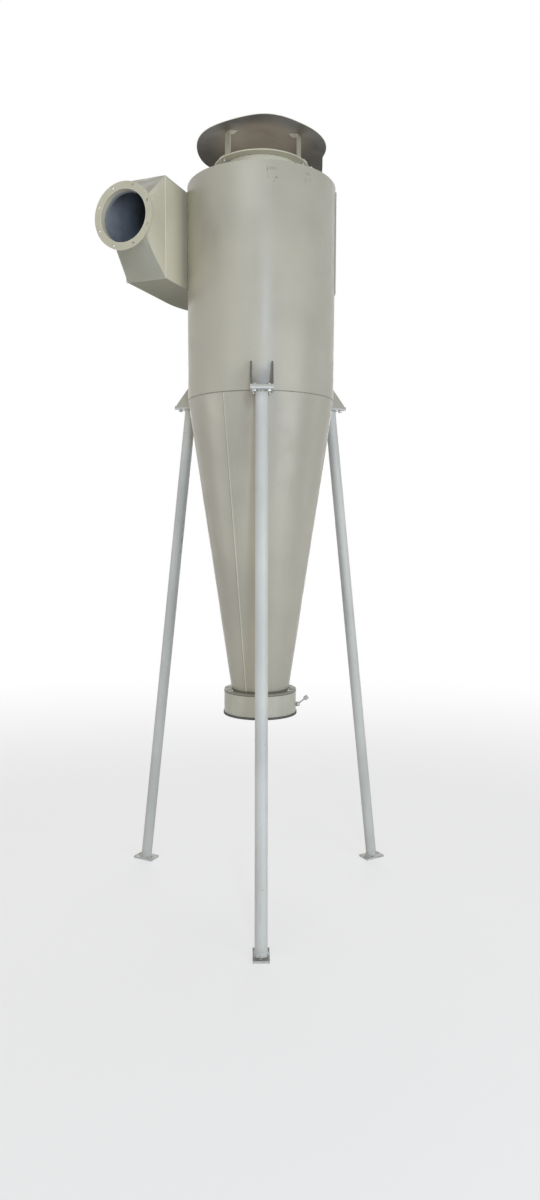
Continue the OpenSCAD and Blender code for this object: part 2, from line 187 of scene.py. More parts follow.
def around(angle, radius, across=0.0, z=0.0):
    """A point at a radius from the body's axis, moved across by a sideways distance."""
    return Vector((radius * cos(angle) - across * sin(angle), radius * sin(angle) + across * cos(angle), z))


def keep(bm, name, material, sharp=radians(32)):
    """Turns a finished bmesh into a piece that rides on the frame."""
    bmesh.ops.recalc_face_normals(bm, faces=bm.faces)
    for face in bm.faces:
        face.smooth = True
    for edge in bm.edges:
        if len(edge.link_faces) == 2:
            edge.smooth = edge.calc_face_angle() < sharp
    mesh = bpy.data.meshes.new(name)
    bm.to_mesh(mesh)
    bm.free()
    if not mesh.polygons:
        raise RuntimeError(f"{name} came out empty")
    mesh.materials.append(material)
    piece = bpy.data.objects.new(name, mesh)
    bpy.context.scene.collection.objects.link(piece)
    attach(piece, "root")
    return piece


def keep_weld(bm, name, finish="weld_cream"):
    """Keeps a bead as a piece that is smooth all over."""
    keep(bm, name, finish_named(finish), sharp=pi)


def edges_of(verts):
    """The edges that meet at some vertices."""
    return {edge for vert in verts for edge in vert.link_edges}


def add_bar(bm, low, radius, height, sides):
    """Stands a bar on z = low and gives its edges."""
    made = bmesh.ops.create_cone(bm, cap_ends=True, cap_tris=False, segments=sides, radius1=radius,
                                 radius2=radius, depth=height,
                                 matrix=Matrix.Translation((0, 0, low + height / 2)))
    return edges_of(made["verts"])


def add_block(bm, low, radius, height, sides, bevel):
    """A round or six-sided block that stands on z = low, with its top edge taken off."""
    top = [e for e in add_bar(bm, low, radius, height, sides)
           if all(v.co.z > low + height * 0.9 for v in e.verts)]
    bmesh.ops.bevel(bm, geom=top, offset=bevel, segments=2, profile=0.5, affect="EDGES", material=-1)


def add_thread(bm, low, radius, height):
    """A threaded end, with every second ring of its wall drawn in."""
    upright = [e for e in add_bar(bm, low, radius, height, 20)
               if abs(e.verts[0].co.z - e.verts[1].co.z) > height / 2]
    rings = max(4, round(height / THREAD_STEP))
    bmesh.ops.subdivide_edges(bm, edges=upright, cuts=rings, use_grid_fill=True)
    pitch = height / (rings + 1)
    for vert in bm.verts:
        if abs(vert.co.x) < radius * 1.01 and vert.co.z > low + pitch / 2:
            if round((vert.co.z - low) / pitch) % 2:
                vert.co.x *= THREAD_ROOT
                vert.co.y *= THREAD_ROOT


def fastener(shank, tall, stub=0.0):
    """Washer and a six-sided head or nut on z = 0, sized by the shank, with a threaded stub if asked."""
    bm = bmesh.new()
    washer = shank * 0.18
    if stub:
        add_thread(bm, shank * 0.9, shank * 0.48, stub)
    add_block(bm, 0, shank, washer, 28, shank * 0.04)
    add_block(bm, washer, shank * 0.98, shank * tall, 6, shank * 0.10)
    mesh = bpy.data.meshes.new("fastener")
    bm.to_mesh(mesh)
    bm.free()
    return mesh


def bolt_head(shank):
    """Washer and six-sided head, standing on z = 0."""
    return fastener(shank, 0.64)


def bolt_nut(shank, stub):
    """Threaded end, washer and nut, standing on z = 0."""
    return fastener(shank, 0.80, stub)


def put(bm, mesh, matrix):
    """Adds a copy of a small mesh to a bmesh at a place."""
    start = len(bm.verts)
    bm.from_mesh(mesh)
    bm.verts.ensure_lookup_table()
    bmesh.ops.transform(bm, matrix=matrix, verts=bm.verts[start:])


def at(point, down=False, turn=0.0):
    """A matrix that stands a fastener on a point, head up or head down, turned about its axis."""
    return (Matrix.Translation(point) @ Matrix.Rotation(pi if down else 0.0, 4, "X")
            @ Matrix.Rotation(turn, 4, "Z"))


def uneven(point, scale):
    """A smooth value between -1 and 1 that changes along a hand-laid weld."""
    return noise.noise(point * scale)


def ripples(run, middle, ripple, pitch):
    """How much a bead swells at a distance along it, in even ripples and uneven lumps."""
    return 1 + ripple * (sin(run * 2 * pi / pitch) + 1.2 * uneven(middle, 60))


def close_ends(bm, verts):
    """Fills the open ends of a bead."""
    bmesh.ops.holes_fill(bm, edges=[e for e in edges_of(verts) if e.is_boundary], sides=16)


def bead_arc(bm, radius, size, start, sweep, steps, matrix, ripple=0.0, pitch=0.006, squash=1.0):
    """A weld bead round +Z, from an angle over a sweep, rippled at a pitch along its length."""
    verts = bmesh.ops.create_circle(bm, cap_ends=False, segments=8, radius=size)["verts"]
    bmesh.ops.transform(bm, verts=verts,
                        matrix=Matrix.Rotation(start, 4, "Z") @ Matrix.Translation((radius, 0, 0))
                        @ Matrix.Rotation(pi / 2, 4, "X") @ Matrix.Diagonal((1, squash, 1, 1)))
    first = len(bm.verts) - len(verts)
    full = abs(sweep - 2 * pi) < 1e-6
    bmesh.ops.spin(bm, geom=verts + list(edges_of(verts)), cent=(0, 0, 0), axis=(0, 0, 1), angle=sweep,
                   steps=steps, use_merge=full, use_duplicate=False)
    bm.verts.ensure_lookup_table()
    fresh = bm.verts[first:]
    if not full:
        close_ends(bm, fresh)
    for vert in fresh:
        angle = atan2(vert.co.y, vert.co.x)
        middle = Vector((radius * cos(angle), radius * sin(angle), 0))
        vert.co = middle + (vert.co - middle) * ripples(angle * radius, middle, ripple, pitch)
    bmesh.ops.transform(bm, matrix=matrix, verts=fresh)


def bead_ring(bm, radius, size, z, steps, ripple, pitch, squash=1.0):
    """A weld bead all the way round the body's axis."""
    bead_arc(bm, radius, size, 0, 2 * pi, steps, Matrix.Translation((0, 0, z)), ripple, pitch, squash)


def bead_line(bm, a, b, size, steps, ripple=0.0, pitch=0.006, flat=None, squash=1.0):
    """A weld bead from a to b with drawn-in ends, flattened along a direction if one is given."""
    a, b = Vector(a), Vector(b)
    length = (b - a).length
    along = (b - a).normalized()
    verts = bmesh.ops.create_circle(bm, cap_ends=False, segments=8, radius=size)["verts"]
    turn = along.to_track_quat("Z", "Y").to_matrix().to_4x4()
    bmesh.ops.transform(bm, verts=verts, matrix=Matrix.Translation(a) @ turn)
    first = len(bm.verts) - len(verts)
    edges = list(edges_of(verts))
    for _ in range(steps):
        made = bmesh.ops.extrude_edge_only(bm, edges=edges)["geom"]
        edges = [g for g in made if isinstance(g, bmesh.types.BMEdge)]
        verts = [g for g in made if isinstance(g, bmesh.types.BMVert)]
        bmesh.ops.translate(bm, verts=verts, vec=(b - a) / steps)
    bm.verts.ensure_lookup_table()
    fresh = bm.verts[first:]
    close_ends(bm, fresh)
    for vert in fresh:
        run = (vert.co - a).dot(along)
        middle = a + along * run
        drawn_in = 0.55 if min(run, length - run) < 1e-5 else 1
        offset = (vert.co - middle) * (ripples(run, middle, ripple, pitch) * drawn_in)
        if flat is not None:
            offset -= Vector(flat) * offset.dot(Vector(flat)) * (1 - squash)
        vert.co = middle + offset


def on_barrel(bearing, z):
    """A point on the barrel at a bearing from its front, in degrees."""
    return around(FRONT + radians(bearing), BARREL_R, z=z)


def hump(angle, bearing, width):
    """1 at a bearing from the front, falling off over a width to either side, both in degrees."""
    off = (angle - FRONT - radians(bearing) + pi) % (2 * pi) - pi
    return exp(-(off / radians(width)) ** 2)


# Finishes

class Recipe:
    """A node material that is built up step by step from Object coordinates."""

    def __init__(self, name):
        self.material = bpy.data.materials.new(name)
        self.material.use_nodes = True
        self.tree = self.material.node_tree
        self.shader = self.tree.nodes["Principled BSDF"]
        self.place = self.add("ShaderNodeTexCoord").outputs["Object"]
        self.normal = self.add("ShaderNodeNewGeometry").outputs["Normal"]
        self.bump = None

    def add(self, kind, **settings):
        """A new node, with its settings."""
        node = self.tree.nodes.new(kind)
        for key, value in settings.items():
            setattr(node, key, value)
        return node

    def feed(self, socket, value):
        """Links a socket to a node's output, or gives it a plain value."""
        if isinstance(value, bpy.types.NodeSocket):
            self.tree.links.new(value, socket)
        elif socket.type == "RGBA" and len(value) == 3:
            socket.default_value = (*value, 1)
        else:
            socket.default_value = value

    def noise(self, scale, detail=2.0, rough=0.5, squeeze=(1, 1, 1)):
        """Cloudy values round 0.5, which a squeeze below 1 draws out along its axis."""
        mapping = self.add("ShaderNodeMapping")
        self.feed(mapping.inputs["Vector"], self.place)
        mapping.inputs["Scale"].default_value = squeeze
        node = self.add("ShaderNodeTexNoise")
        self.feed(node.inputs["Vector"], mapping.outputs[0])
        node.inputs["Scale"].default_value = scale
        node.inputs["Detail"].default_value = detail
        node.inputs["Roughness"].default_value = rough
        return node.outputs["Fac"]

    def span(self, value, low, high, to_low=0.0, to_high=1.0):
        """A smooth step from one value to another, while the input goes from low to high."""
        node = self.add("ShaderNodeMapRange", interpolation_type="SMOOTHSTEP")
        for key, given in (("Value", value), ("From Min", low), ("From Max", high), ("To Min", to_low),
                           ("To Max", to_high)):
            self.feed(node.inputs[key], given)
        return node.outputs[0]

    def maths(self, how, a, b=0.0):
        """One sum on one or two numbers."""
        node = self.add("ShaderNodeMath", operation=how)
        self.feed(node.inputs[0], a)
        self.feed(node.inputs[1], b)
        return node.outputs[0]

    def vector(self, how, a, b=(0, 0, 0)):
        """One sum on one or two directions or places."""
        node = self.add("ShaderNodeVectorMath", operation=how)
        self.feed(node.inputs[0], a)
        self.feed(node.inputs[1], b)
        return node.outputs["Value" if how in ("DOT_PRODUCT", "LENGTH", "DISTANCE") else "Vector"]

    def mix(self, share, a, b):
        """Colour a, with a share of colour b over it."""
        node = self.add("ShaderNodeMix", data_type="RGBA")
        self.feed(node.inputs[0], share)
        self.feed(node.inputs[6], a)
        self.feed(node.inputs[7], b)
        return node.outputs[2]

    def axis(self, which):
        """The place along X, Y or Z, as 0, 1 or 2."""
        node = self.add("ShaderNodeSeparateXYZ")
        self.feed(node.inputs[0], self.place)
        return node.outputs[which]

    def near(self, point, radius, squeeze, soft):
        """1 at a point and 0 beyond a radius from it, which a squeeze below 1 draws out along its axis."""
        away = self.vector("SUBTRACT", self.place, point)
        away = self.vector("MULTIPLY", away, squeeze)
        return self.span(self.vector("LENGTH", away), radius * soft, radius, 1.0, 0.0)

    def add_bump(self, height, distance, strength=1.0):
        """Lays a bump over those that are there already."""
        node = self.add("ShaderNodeBump")
        node.inputs["Strength"].default_value = strength
        node.inputs["Distance"].default_value = distance
        self.feed(node.inputs["Height"], height)
        if self.bump is not None:
            self.feed(node.inputs["Normal"], self.bump)
        self.bump = node.outputs[0]

    def done(self, colour, roughness, metallic=0.0):
        """Feeds the shader and hands over the finished material."""
        self.feed(self.shader.inputs["Base Color"], colour)
        self.feed(self.shader.inputs["Roughness"], roughness)
        self.feed(self.shader.inputs["Metallic"], metallic)
        if self.bump is not None:
            self.feed(self.shader.inputs["Normal"], self.bump)
        return self.material


def enamel(name, colour, look, marks=(), grime_z=None, runs=0.5, inside=None, under=None, joints=(),
           corner_r=None, turned=None, groove=None, sheen=0.42):
    """Semi-gloss enamel with mottling, faint runs and dust.

    marks: scuffs, each with its point, radius, squeeze along X, Y and Z, share and colour
    grime_z: from and to which height the foot of a piece is grimy, and how much
    runs: how much the upright runs show
    inside: axis mask, centre, sign and colour of a hollow piece's inner face, and the Y where it turns bare
    under: colour of the underside, a painted shade, and the radius past which only faces that look straight
    down have it
    joints: heights, half widths and shares of dark joint lines, partly painted shade
    corner_r: radius of a corner darkened as painted shade
    turned: axis that some faces look along, from and to how nearly they do, their share and colour, which
    paints light or shade on them
    groove: angle and offset of a fine dark line beside an upright seam
    sheen: how much the paint mirrors
    """
    r = Recipe(name)

    def part(mask, share):
        """A share of a mask."""
        return r.maths("MULTIPLY", mask, share)

    # Mottled paint with upright runs and small specks
    pale = [min(1, c * 1.06) for c in colour]
    deep = [c * 0.90 for c in colour]
    paint = r.mix(r.span(r.noise(2.1, 4), 0.35, 0.65), deep, pale)
    streaks = r.span(r.noise(9.0, 5, 0.62, squeeze=(1, 1, 0.07)), 0.54, 0.78)
    paint = r.mix(part(streaks, 0.22 * runs), paint, look.grime_and_shade)
    specks = r.span(r.noise(70, 3, 0.6), 0.70, 0.76)
    paint = r.mix(part(specks, 0.35), paint, look.grime_and_shade)

    # Grime at the floor, dark joint lines that are partly painted shade, painted shade in corners, and a fine
    # dark line beside the seam
    if grime_z is not None:
        low, high, share = grime_z
        near_floor = r.span(r.axis(2), low, high, 1.0, 0.0)
        blotch = r.span(r.noise(26, 5, 0.65), 0.36, 0.66)
        paint = r.mix(part(part(near_floor, blotch), share), paint, look.grime_and_shade)
    for height, reach, share in joints:
        off = r.maths("ABSOLUTE", r.maths("SUBTRACT", r.axis(2), height))
        line = r.span(off, reach * 0.4, reach, 1.0, 0.0)
        paint = r.mix(part(line, share), paint, look.grime_and_shade)
    flat = r.vector("LENGTH", r.vector("MULTIPLY", r.place, (1, 1, 0)))
    # Painted shade in the corner round a radius
    if corner_r is not None:
        paint = r.mix(r.span(flat, corner_r + 0.002, corner_r + 0.020, 0.85, 0.35), paint, look.grime_and_shade)
    if groove is not None:
        angle, offset = groove
        off = r.maths("SUBTRACT", r.vector("DOT_PRODUCT", r.place, around(angle, 0, 1)), offset)
        line = r.span(r.maths("ABSOLUTE", off), 0.0008, 0.0022, 1.0, 0.0)
        line = part(line, r.span(r.vector("DOT_PRODUCT", r.place, around(angle, 1)), 0.0, 0.01))
        paint = r.mix(part(line, 0.38), paint, look.grime_and_shade)

    # Faces that look one way, made lighter or darker as painted light and shade, and dust on those that look
    # up
    facing = r.add("ShaderNodeSeparateXYZ")
    r.feed(facing.inputs[0], r.normal)
    if turned is not None:
        axis, low, high, share, tone = turned
        paint = r.mix(part(r.span(facing.outputs[axis], low, high), share), paint, tone)
    dust = part(r.span(facing.outputs[2], 0.55, 0.95), r.span(r.noise(12, 5, 0.6), 0.30, 0.70))
    paint = r.mix(part(dust, 0.35), paint, [c * 2.1 for c in look.stain])
    rough = r.span(r.noise(16, 3), 0.3, 0.7, look.gloss - 0.05, look.gloss + 0.07)
    rough = r.maths("ADD", rough, part(dust, 0.3))

    # Painted shade on the underside, with painted light in its middle over the outlet
    if under is not None:
        tone, radius = under
        limit = r.span(flat, radius - 0.002, radius + 0.002, 0.5, -0.7)
        share = r.span(facing.outputs[2], r.maths("SUBTRACT", limit, 0.1), r.maths("ADD", limit, 0.1),
                       1.0, 0.0)
        deep = [c * 0.84 for c in tone]
        light = [c * 1.16 for c in tone]
        cloud = r.mix(r.span(r.noise(5, 4, 0.6), 0.36, 0.66), deep, light)
        # Lighter middle over the outlet: painted light
        middle = [min(1, c * lift) for c, lift in zip(tone, (3.3, 3.0, 2.6))]
        cloud = r.mix(r.span(flat, 0.08, 0.25, 1.0, 0.0), cloud, middle)
        paint = r.mix(share, paint, cloud)
        rough = r.maths("ADD", rough, part(share, 0.15))

    # Scuffs, broken up by fine scratches
    if marks:
        broken = r.span(r.noise(330, 3, 0.6), 0.36, 0.60, 0.45, 1.0)
    for point, radius, squeeze, share, dark in marks:
        mask = part(r.near(point, radius, squeeze, soft=0.3), broken)
        paint = r.mix(part(mask, share), paint, dark)

    # Bare, dusty inner face
    if inside is not None:
        mask, centre, sign, tone, painted = inside
        inward = r.vector("DOT_PRODUCT", r.vector("MULTIPLY", r.normal, mask),
                          r.vector("SUBTRACT", r.place, centre))
        within = r.span(part(inward, sign), -0.004, 0.004, 1.0, 0.0)
        if painted is not None:
            ragged = part(r.noise(30, 3), 0.010)
            depth = r.maths("SUBTRACT", r.axis(1), ragged)
            within = part(within, r.span(depth, painted - 0.007, painted - 0.001))
        dusty = r.mix(r.span(r.noise(7, 5, 0.6), 0.3, 0.7), [c * 0.8 for c in tone], [c * 1.25 for c in tone])
        paint = r.mix(within, paint, dusty)
        rough = r.maths("ADD", rough, part(within, 0.05))

    # Slightly wavy sheet and the paint's own grain
    r.add_bump(r.noise(3.2, 2), 0.0035, 0.35)
    r.add_bump(r.noise(260, 2), 0.00012, 0.12)
    r.shader.inputs["Specular IOR Level"].default_value = sheen
    return r.done(paint, rough)


def weld_paint(name, colour, look):
    """Paint over a weld, dirtier in its hollows."""
    r = Recipe(name)
    paint = r.mix(r.span(r.noise(150, 4, 0.6), 0.46, 0.70), colour, look.grime_and_shade)
    r.add_bump(r.noise(420, 3), 0.0006, 0.6)
    return r.done(paint, r.span(r.noise(60, 2), 0.3, 0.7, look.gloss, look.gloss + 0.15))


def plated(name, look):
    """Zinc-plated steel, dulled in patches."""
    r = Recipe(name)
    dull = r.span(r.noise(180, 4, 0.6), 0.45, 0.75)
    colour = r.mix(r.maths("MULTIPLY", dull, 0.6), look.zinc, look.stain)
    r.add_bump(r.noise(900, 2), 0.0001, 0.4)
    return r.done(colour, r.span(dull, 0, 1, 0.34, 0.60), 0.7)


def trim_rubber(name, look):
    """Matt rubber with pale dust in its grain."""
    r = Recipe(name)
    dust = r.span(r.noise(60, 5, 0.65), 0.48, 0.74)
    colour = r.mix(r.maths("MULTIPLY", dust, 0.35), look.rubber, look.stain)
    r.add_bump(r.noise(500, 3), 0.0003, 0.5)
    return r.done(colour, r.span(dust, 0, 1, 0.62, 0.85))


def finish_named(name):
    """A finish that the first operator made."""
    material = bpy.data.materials.get(name)
    if material is None:
        raise RuntimeError(f"the finish {name} isn't made yet")
    return material


# Operators

class CYCLONE_OT_finishes(bpy.types.Operator):
    """Paint, bare sheet, rubber and plating on the frame's own parts"""
    bl_idname = "cyclone.finishes"
    bl_label = "Finish the frame's parts"

    def execute(self, context):
        look = context.scene.cyclone_finish
        weld = context.scene.cyclone_welds
        cream = list(look.cream)
        legs = list(look.legs)
        bare = list(look.bare)

        def tinted(*shares):
            """The cream paint, lighter or darker, by one share or by one each for red, green and blue, as
            painted light and shade.
            """
            return [min(1, c * share) for c, share in zip(cream, shares * 3 if len(shares) == 1 else shares)]

        # Lit and shaded copies of the cream: lit and pale paint in light, body paints in shade
        painted_lit_cream = tinted(1.26, 1.23, 1.14)
        pale = tinted(1.50, 1.46, 1.40)
        body = tinted(0.93, 0.905, 0.885)
        scuff = (0.12, 0.12, 0.11)

        def inner(mask, sign=1, tone=bare, centre=(0, 0, 0), painted=None):
            """Which faces of a hollow piece are its inside, as enamel takes them."""
            return mask, centre, sign, tone, painted

        hollow = inner((1, 1, 0))
        mouth = (MOUTH.x, 0, MOUTH.z)

        # Each scuff's bearing from the front in degrees, height, radius, upright squeeze and share
        barrel_marks = [(on_barrel(bearing, z), radius, (1, 1, squeeze), share, scuff)
                        for bearing, z, radius, squeeze, share in (
                            (4.2, 3.072, 0.0038, 0.24, 0.80), (4.6, 3.046, 0.0032, 0.20, 0.35),
                            (6.3, 3.074, 0.0036, 0.36, 0.50), (7.5, 3.072, 0.0034, 0.48, 0.42),
                            (9.0, 3.074, 0.0034, 0.36, 0.45), (10.7, 3.073, 0.0038, 0.45, 0.42),
                            (8.2, 3.077, 0.0190, 3.00, 0.30), (10.7, 3.041, 0.0066, 1.00, 0.85),
                            (9.1, 3.027, 0.0080, 1.00, 0.25), (35.9, 3.077, 0.0200, 2.20, 0.36),
                            (33.8, 3.052, 0.0110, 0.60, 0.20), (37.8, 3.056, 0.0100, 0.70, 0.18))]
        # A darker brown patch on the cone below the front bracket's shelf
        cone_marks = [(around(FRONT - radians(8), 0.316, z=2.178), 0.040, (1, 1, 0.7), 0.34,
                       (0.19, 0.14, 0.10))]
        cap_marks = [((0.1845, 0.2275, 3.273), 0.006, (1, 1, 1), 0.8, (0.30, 0.29, 0.27))]
        leg_lean = 0.130
        pipe_side = 0.0245
        leg_marks = [(around(LEG_ANGLES[2], weld.foot_r - leg_lean * z - pipe_side, 0.003, z), 0.0042,
                      (1, 1, squeeze), 0.8, scuff)
                     for z, squeeze in ((1.676, 0.20), (1.640, 0.26), (1.588, 0.12), (1.538, 0.24))]

        made = {
            # Barrel and cone take body, the cream darkened as painted shade; the dark band at the cone's foot
            # is partly painted shade where it meets the dust ring
            "barrel_shell": enamel("barrel_paint", body, look, sheen=0.90, marks=barrel_marks, inside=hollow,
                                   joints=((SEAM_Z, 0.0026, 0.4),)),
            "cone_shell": enamel("cone_paint", body, look, sheen=0.75, marks=cone_marks, runs=0.7,
                                 inside=hollow, joints=((SEAM_Z, 0.0026, 0.4), (CONE_END_Z, 0.0100, 0.85)),
                                 groove=(weld.cone_seam, -0.0042)),
            # Outlet tube, outlet ring, flange and spigot take lighter copies of the cream: painted light
            "gas_outlet_tube": enamel("outlet_paint", tinted(1.7), look,
                                      inside=inner((1, 1, 0), tone=list(look.stain))),
            "gas_outlet_ring": enamel("outlet_ring_paint", pale, look),
            "inlet_flange": enamel("flange_paint", painted_lit_cream, look),
            "inlet_spigot": enamel("spigot_paint", pale, look,
                                   inside=inner((1, 0, 1), centre=mouth, painted=SPIGOT_LOW.y + 0.026)),
            # Transition faces that look along +X take the pale copy: a painted highlight
            "inlet_transition": enamel("transition_paint", cream, look, sheen=0.08,
                                       turned=(0, 0.50, 0.74, 1.0, pale),
                                       inside=inner((1, 0, 1), centre=mouth)),
            # Duct wall in the pale copy of the cream: painted light
            "duct_inner_wall": enamel("duct_wall_paint", pale, look, inside=inner((1, 0, 0), -1)),
            "scroll_outer_wall": enamel("scroll_wall_paint", cream, look, inside=hollow),
            "scroll_top_plate": enamel("scroll_top_paint", cream, look, inside=inner((0, 0, 1))),
            # Bottom plate a little darker than the cream: painted shade
            "scroll_bottom_plate": enamel("scroll_bottom_paint", tinted(0.98), look, sheen=0.0,
                                          inside=inner((0, 0, 1), -1)),
            # Sleeve in a lighter copy of the cream: painted light
            "dust_sleeve": enamel("sleeve_paint", tinted(1.12), look, runs=0.9, inside=hollow,
                                  joints=((DUST_RING_LOW_Z, 0.0048, 0.9),)),
            # Dust ring darkened round the cone's foot: painted shade in the corner
            "dust_ring": enamel("dust_ring_paint", cream, look, runs=0.9, corner_r=CONE_END_R, sheen=0.08),
            "sleeve_clamp_lever": enamel("knob_paint", (0.60, 0.60, 0.56), look, runs=0.2),
            "sleeve_clamp_lug": enamel("lug_paint", (0.34, 0.31, 0.26), look, runs=1.0),
            "sleeve_edge_trim": trim_rubber("trim_rubber", look),
        }
        # Upward-sloping gusset edges darkened as painted shade and reflection; the front gussets also take a
        # darker copy of the cream as painted shade
        slope = (2, 0.30, 0.50, 0.85, look.grime_and_shade)
        leg = enamel("leg_paint", legs, look, marks=leg_marks, grime_z=(0.0, 0.06, 0.30), runs=0.8)
        by_start = (
            # Cap brackets in the lit copy, painted light, with faces that look down darkened as painted shade
            ("cap_bracket", enamel("cap_bracket_paint", painted_lit_cream, look, under=(tinted(0.8), 0.0))),
            ("leg_bracket_gussets_1", enamel("front_gusset_paint", tinted(0.7), look, turned=slope)),
            ("leg_bracket_gussets", enamel("gusset_paint", cream, look, turned=slope)),
            # Only the front foot's upward faces are darkened: painted shadow in front of its pipe
            ("foot_plate_1", enamel("front_foot_paint", legs, look, grime_z=(0.0, 0.05, 0.30), runs=0.8,
                                    turned=(2, 0.6, 0.9, 0.80, look.grime_and_shade))),
            ("foot_plate", enamel("foot_paint", legs, look, grime_z=(0.0, 0.05, 0.30), runs=0.8)),
            ("leg_pipe", leg),
            ("leg_head", leg),
            ("", enamel("plate_paint", cream, look)),
        )

        # Finishes of the pieces that the later steps add
        plated("zinc", look)
        # Cap in the pale copy, a painted highlight on its rim, with its underside darkened as painted shade
        enamel("cap_paint", pale, look, marks=cap_marks, under=([0.215, 0.200, 0.175], CAP_R * 0.985),
               sheen=0.04)
        # Light copies of the cream for the cone's long seam and the duct's fold: painted highlights
        enamel("seam_paint", tinted(1.36), look, runs=0.2)
        enamel("fold_paint", tinted(1.75), look, runs=0.2)
        # The two darker weld finishes paint in shade along the barrel-cone seam and round the dust ring,
        # partly a dark joint under the ring
        for name, colour in (("weld_cream", cream), ("weld_dirty", tinted(0.62)), ("weld_dark", tinted(0.36)),
                             ("weld_legs", legs)):
            weld_paint(name, colour, look)

        for name, node in NODES.items():
            material = made.get(name) or next(paint for start, paint in by_start if name.startswith(start))
            node.data.materials.clear()
            node.data.materials.append(material)
        return {"FINISHED"}


class CYCLONE_OT_rain_cap(bpy.types.Operator):
    """The thin rain cap, sprung up at the front, with its lap's corner hanging"""
    bl_idname = "cyclone.rain_cap"
    bl_label = "Rain cap"

    def execute(self, context):
        cap = context.scene.cyclone_cap
        rings = 30
        steps = 190
        lap = radians(7)
        lap_rise = 0.0021
        flare = radians(20)
        even_wave = 0.0012
        uneven_wave = 0.0010
        crown_drop = 0.0030
        start = cap.lap_angle - lap
        sweep = 2 * pi + lap

        # A sloping line, spun once round and over the lap
        bm = bmesh.new()
        verts = [bm.verts.new((CAP_R * i / rings, 0, CAP_RIM_Z + CAP_R * (1 - i / rings) * tan(cap.slope)))
                 for i in range(rings + 1)]
        edges = [bm.edges.new(pair) for pair in zip(verts, verts[1:])]
        bmesh.ops.spin(bm, geom=verts + edges, cent=(0, 0, 0), axis=(0, 0, 1), angle=sweep, steps=steps,
                       dvec=(0, 0, lap_rise / steps), use_merge=False, use_duplicate=False)
        bmesh.ops.rotate(bm, cent=(0, 0, 0), matrix=Matrix.Rotation(start, 3, "Z"), verts=bm.verts)
        bm.verts.index_update()

        # The rim's rises and dips, each at a bearing and over a width in degrees, and the lap's loose corner
        for index, vert in enumerate(bm.verts):
            turned = sweep * (index // (rings + 1)) / steps
            angle = start + turned
            share = min(1.0, vert.co.xy.length / CAP_R)
            end = max(0.0, (turned - sweep + flare) / flare)
            lift = (cap.lift * hump(angle, 7, 25) + cap.bow * hump(angle, -45, 50)
                    - cap.bow * hump(angle, 75, 22) - cap.sag * hump(angle, -119, 26)) * share ** 3
            wave = even_wave * sin(5 * angle + 0.8) * share ** 4 + uneven_wave * uneven(vert.co, 9)
            hang = cap.corner * end ** 1.2 * share ** 4
            out = cap.reach * end ** 1.4 * share ** 5
            vert.co.z += lift - hang + wave * (1 - end) - crown_drop * (1 - share)
            vert.co.x += cos(angle) * out
            vert.co.y += sin(angle) * out

        # One vertex at the peak, and the sheet's thickness
        hub = [v for v in bm.verts if v.co.xy.length < CAP_R / rings * 0.3]
        bmesh.ops.remove_doubles(bm, verts=hub, dist=0.003)
        bmesh.ops.recalc_face_normals(bm, faces=bm.faces)
        if sum(f.normal.z for f in bm.faces) < 0:
            bmesh.ops.reverse_faces(bm, faces=bm.faces)
        bmesh.ops.solidify(bm, geom=bm.faces, thickness=cap.sheet)
        piece = keep(bm, "rain_cap_sheet", finish_named("cap_paint"))
        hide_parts("rain_cap")
        return {"FINISHED"}


class CYCLONE_OT_bracket_bolts(bpy.types.Operator):
    """Four bolts with washers and nuts through each leg bracket"""
    bl_idname = "cyclone.bracket_bolts"
    bl_label = "Bracket bolts"

    def execute(self, context):
        size = context.scene.cyclone_fasteners
        head = bolt_head(size.bracket_bolt)
        nut = bolt_nut(size.bracket_bolt, stub=0.0025)
        for index, angle in enumerate(LEG_ANGLES, 1):
            bm = bmesh.new()
            for along in (-1, 1):
                for across in (-1, 1):
                    # No two heads stand at the same turn
                    turn = angle + along * 0.4 + across * 0.9 + index
                    spot = around(angle, size.bracket_r + along * size.bracket_y / 2,
                                  across * size.bracket_x / 2)
                    put(bm, head, at(Vector((spot.x, spot.y, SHELF_TOP_Z)), turn=turn))
                    put(bm, nut, at(Vector((spot.x, spot.y, HEAD_LOW_Z)), down=True, turn=turn * 1.7))
            keep(bm, f"bracket_bolts_{index}", finish_named("zinc"))
        return {"FINISHED"}


class CYCLONE_OT_cap_bolts(bpy.types.Operator):
    """One bolt with its nut through each cap bracket's foot"""
    bl_idname = "cyclone.cap_bolts"
    bl_label = "Cap bracket bolts"

    def execute(self, context):
        size = context.scene.cyclone_fasteners
        head = bolt_head(size.small_bolt)
        nut = bolt_nut(size.small_bolt, stub=0.005)
        bm = bmesh.new()
        for angle in CAP_ANGLES:
            spot = around(angle, size.cap_r)
            put(bm, head, at(Vector((spot.x, spot.y, RING_TOP_Z + CAP_FOOT_T)), turn=angle + 0.3))
            put(bm, nut, at(Vector((spot.x, spot.y, RING_LOW_Z)), down=True, turn=angle))
        keep(bm, "cap_bracket_bolts", finish_named("zinc"))
        return {"FINISHED"}


class CYCLONE_OT_ring_bolts(bpy.types.Operator):
    """Six bolts round the dust ring"""
    bl_idname = "cyclone.ring_bolts"
    bl_label = "Dust ring bolts"

    def execute(self, context):
        size = context.scene.cyclone_fasteners
        shank = size.small_bolt * 0.85
        head = bolt_head(shank)
        nut = bolt_nut(shank, stub=0.004)
        bm = bmesh.new()
        for i in range(6):
            angle = LEG_ANGLES[0] + i * pi / 3
            spot = around(angle, size.ring_r)
            put(bm, head, at(Vector((spot.x, spot.y, DUST_RING_TOP_Z)), turn=angle + i))
            put(bm, nut, at(Vector((spot.x, spot.y, DUST_RING_LOW_Z)), down=True, turn=angle - i))
        keep(bm, "dust_ring_bolts", finish_named("zinc"))
        return {"FINISHED"}


